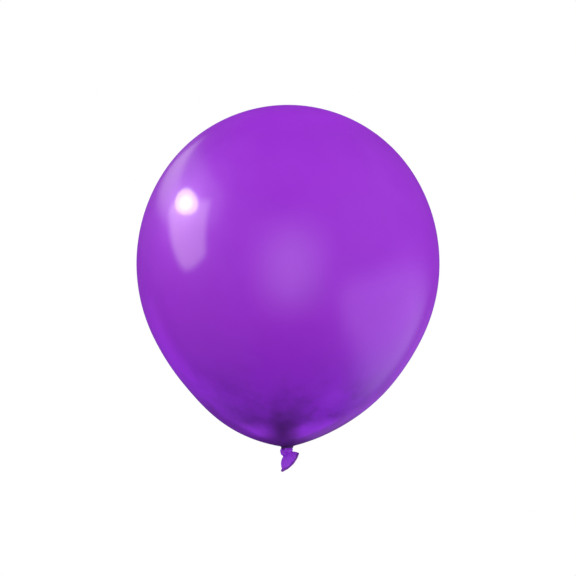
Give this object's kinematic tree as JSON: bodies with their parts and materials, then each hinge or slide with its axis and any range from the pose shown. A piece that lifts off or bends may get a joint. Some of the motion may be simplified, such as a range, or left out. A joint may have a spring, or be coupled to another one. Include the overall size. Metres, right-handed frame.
{
  "type": "latex balloon",
  "caption": "Inflated round latex balloon, tied in an overhand knot at its neck, with the flat end of the filling neck as a short tail.",
  "frame": {"origin": "the tie point: on the body's axis of revolution, at the narrow place between the inflated body and the knot", "axes": "+Z from the tie point up to the crown, +X to the right as the balloon is seen, the side the tail fans out to, +Y away from the viewer"},
  "size_m": [0.2999, 0.3, 0.3637],
  "materials": {
    "inflated_film": "gloss",
    "gathered_film": "satin",
    "knot_film": "satin",
    "slack_film": "satin",
    "lip_bead": "satin"
  },
  "bodies": {
    "envelope": {"envelope": "inflated_film"},
    "throat": {"neck": "gathered_film"},
    "knot": {"knot_turn": "knot_film", "knot_strand": "knot_film", "tail_gather": "gathered_film"},
    "tail": {"tail_skirt": "slack_film", "rolled_lip": "lip_bead"}
  },
  "joints": [
    {"name": "neck_twist", "type": "hinge", "parent": "envelope", "child": "throat", "pos_m": [0, 0, 0], "axis": [0, 0, 1], "range_deg": [-90, 90], "stiffness_Nm_per_rad": 0.0002},
    {"name": "neck_tilt", "type": "hinge", "parent": "throat", "child": "knot", "pos_m": [0, 0, -0.0005], "axis": [0, 1, 0], "range_deg": [-15, 20], "stiffness_Nm_per_rad": 0.0005, "deforming": ["neck"]},
    {"name": "tail_flap", "type": "hinge", "parent": "knot", "child": "tail", "pos_m": [0.0002, 0, -0.0092], "axis": [0.9063, 0, 0.4226], "range_deg": [-70, 70], "stiffness_Nm_per_rad": 0.00005, "deforming": ["tail_gather"]}
  ]
}
